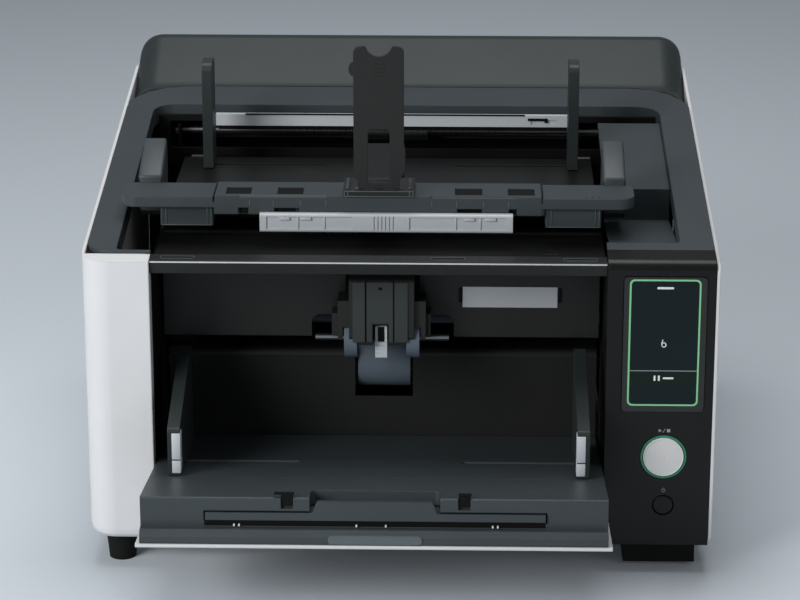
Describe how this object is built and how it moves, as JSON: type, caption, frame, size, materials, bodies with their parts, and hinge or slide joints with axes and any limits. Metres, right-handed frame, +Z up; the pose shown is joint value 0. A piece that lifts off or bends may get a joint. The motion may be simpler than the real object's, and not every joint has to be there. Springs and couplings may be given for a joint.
{
  "type": "sheet fed document scanner",
  "caption": "Desktop sheet fed scanner: a lifting front hopper, pick unit and rollers, a stacker with an end stop on top, and a control panel with a display and buttons.",
  "frame": {"origin": "middle of the overall box's footprint, on the ground plane under the feet", "axes": "+Z up, -Y towards the user (the hopper side), +X to the user's right (the control panel side)"},
  "size_m": [0.46, 0.548, 0.3819],
  "materials": {
    "light_grey": "fine moulded texture, light warm grey",
    "slate": "fine moulded texture, dark blue grey",
    "dark": "satin, near black",
    "black": "satin black",
    "gloss_black": "gloss black display cover",
    "handle_grey": "satin light grey",
    "roller": "matt blue grey feed rubber",
    "rubber": "matt black rubber",
    "steel": "ground shaft",
    "zinc": "zinc plated sheet",
    "silver": "silver satin",
    "green": "translucent green light ring",
    "board": "printed circuit board",
    "cavity": "matt black inner panel"
  },
  "bodies": {
    "chassis": {"left_side_cover": "light_grey", "right_side_cover": "light_grey", "rear_cover": "dark", "top_frame": "slate", "top_rear_cover": "slate", "control_panel_cover": "black", "display_unit": "gloss_black", "scan_button_ring": "green", "button_board": "board", "base_pan": "zinc", "left_side_frame": "zinc", "right_side_frame": "zinc", "lip_bar": "slate", "bay_ceiling": "cavity", "chute_wall": "dark", "label_plate": "handle_grey", "left_bay_liner": "cavity", "right_bay_liner": "cavity", "lower_front_cover": "dark", "recess_tray": "slate", "exit_wall": "dark", "brush_holder": "silver", "anti_static_brush": "cavity", "feed_guide": "dark", "lower_scan_unit": "black", "upper_scan_unit": "black", "turn_guide": "dark", "main_board": "board", "power_supply": "zinc", "power_inlet": "black", "feed_motor": "steel", "foot_front_left": "rubber", "foot_front_right": "rubber", "foot_rear_left": "rubber", "foot_rear_right": "rubber"},
    "scan_button": {"scan_button": "silver"},
    "power_button": {"power_button": "black"},
    "hopper_table": {"hopper_table": "slate"},
    "hopper_flap": {"hopper_flap": "slate", "hopper_skin": "light_grey"},
    "hopper_extension": {"hopper_extension": "slate"},
    "hopper_guide_left": {"hopper_guide_left": "slate"},
    "hopper_guide_right": {"hopper_guide_right": "slate"},
    "pick_arm": {"pick_arm": "dark"},
    "pick_rollers": {"pick_shaft": "steel", "pick_roller_left": "roller", "pick_roller_right": "roller"},
    "sensor_lever": {"sensor_lever": "silver"},
    "feed_roller": {"feed_roller": "roller"},
    "brake_roller": {"brake_roller": "roller"},
    "transport_roller": {"transport_roller": "rubber"},
    "turn_roller": {"turn_roller": "rubber"},
    "exit_roller": {"exit_roller": "steel"},
    "stacker": {"stacker_beam": "slate", "stacker_bed": "slate"},
    "stacker_handle": {"stacker_handle": "handle_grey"},
    "stopper_slider": {"stopper_slider": "slate"},
    "stopper_plate": {"stopper_plate": "slate"},
    "stack_guide_left": {"stack_guide_left": "slate"},
    "stack_guide_right": {"stack_guide_right": "slate"}
  },
  "joints": [
    {"name": "hopper_lift", "type": "slide", "parent": "chassis", "child": "hopper_table", "axis": [0, 0, 1], "range_m": [0, 0.058]},
    {"name": "hopper_fold", "type": "hinge", "parent": "hopper_table", "child": "hopper_flap", "pos_m": [-0.014, -0.201, 0.09129], "axis": [-1, 0, 0], "range_deg": [0, 80]},
    {"name": "extension_slide", "type": "slide", "parent": "hopper_flap", "child": "hopper_extension", "axis": [0, -0.9871, 0.1599], "range_m": [0, 0.06]},
    {"name": "left_hopper_guide_slide", "type": "slide", "parent": "hopper_table", "child": "hopper_guide_left", "axis": [1, 0, 0], "range_m": [0, 0.08]},
    {"name": "right_hopper_guide_slide", "type": "slide", "parent": "hopper_table", "child": "hopper_guide_right", "axis": [-1, 0, 0], "range_m": [0, 0.08]},
    {"name": "pick_arm_swing", "type": "hinge", "parent": "chassis", "child": "pick_arm", "pos_m": [-0.014, -0.031, 0.1556], "axis": [-1, 0, 0], "range_deg": [-8, 5]},
    {"name": "pick_roller_spin", "type": "hinge", "parent": "pick_arm", "child": "pick_rollers", "pos_m": [-0.014, -0.098, 0.163], "axis": [1, 0, 0], "continuous": true},
    {"name": "sensor_lever_swing", "type": "hinge", "parent": "pick_arm", "child": "sensor_lever", "pos_m": [-0.0145, -0.106, 0.172], "axis": [1, 0, 0], "range_deg": [0, 15]},
    {"name": "feed_roller_spin", "type": "hinge", "parent": "chassis", "child": "feed_roller", "pos_m": [-0.014, -0.031, 0.1556], "axis": [1, 0, 0], "continuous": true},
    {"name": "brake_roller_spin", "type": "hinge", "parent": "chassis", "child": "brake_roller", "pos_m": [-0.014, -0.029, 0.1189], "axis": [-1, 0, 0], "continuous": true},
    {"name": "transport_roller_spin", "type": "hinge", "parent": "chassis", "child": "transport_roller", "pos_m": [-0.014, 0.009, 0.1219], "axis": [-1, 0, 0], "continuous": true},
    {"name": "turn_roller_spin", "type": "hinge", "parent": "chassis", "child": "turn_roller", "pos_m": [-0.014, 0.206, 0.1895], "axis": [1, 0, 0], "continuous": true},
    {"name": "exit_roller_spin", "type": "hinge", "parent": "chassis", "child": "exit_roller", "pos_m": [-0.014, 0.156, 0.2535], "axis": [1, 0, 0], "continuous": true},
    {"name": "stacker_lift", "type": "hinge", "parent": "chassis", "child": "stacker", "pos_m": [-0.014, 0.112, 0.24], "axis": [-1, 0, 0], "range_deg": [0, 45]},
    {"name": "handle_pull", "type": "hinge", "parent": "stacker", "child": "stacker_handle", "pos_m": [-0.011, -0.093, 0.256], "axis": [-1, 0, 0], "range_deg": [0, 30], "stiffness_Nm_per_rad": 0.05},
    {"name": "stopper_slide", "type": "slide", "parent": "stacker", "child": "stopper_slider", "axis": [0, 1, 0], "range_m": [0, 0.06]},
    {"name": "stopper_fold", "type": "hinge", "parent": "stopper_slider", "child": "stopper_plate", "pos_m": [-0.0165, -0.087, 0.2753], "axis": [-1, 0, 0], "range_deg": [0, 90]},
    {"name": "left_stack_guide_slide", "type": "slide", "parent": "stacker", "child": "stack_guide_left", "axis": [1, 0, 0], "range_m": [0, 0.09]},
    {"name": "right_stack_guide_slide", "type": "slide", "parent": "stacker", "child": "stack_guide_right", "axis": [-1, 0, 0], "range_m": [0, 0.09]},
    {"name": "scan_button_press", "type": "slide", "parent": "chassis", "child": "scan_button", "axis": [0, 1, 0], "range_m": [0, 0.0015], "stiffness_N_per_m": 300},
    {"name": "power_button_press", "type": "slide", "parent": "chassis", "child": "power_button", "axis": [0, 1, 0], "range_m": [0, 0.001], "stiffness_N_per_m": 300}
  ],
  "couplings": [
    {"joint": "right_hopper_guide_slide", "follows": "left_hopper_guide_slide", "ratio": 1},
    {"joint": "right_stack_guide_slide", "follows": "left_stack_guide_slide", "ratio": 1},
    {"joint": "pick_roller_spin", "follows": "feed_roller_spin", "ratio": 1.2},
    {"joint": "brake_roller_spin", "follows": "feed_roller_spin", "ratio": 1},
    {"joint": "transport_roller_spin", "follows": "feed_roller_spin", "ratio": 1.2},
    {"joint": "turn_roller_spin", "follows": "feed_roller_spin", "ratio": 1.2},
    {"joint": "exit_roller_spin", "follows": "feed_roller_spin", "ratio": 2.25}
  ]
}
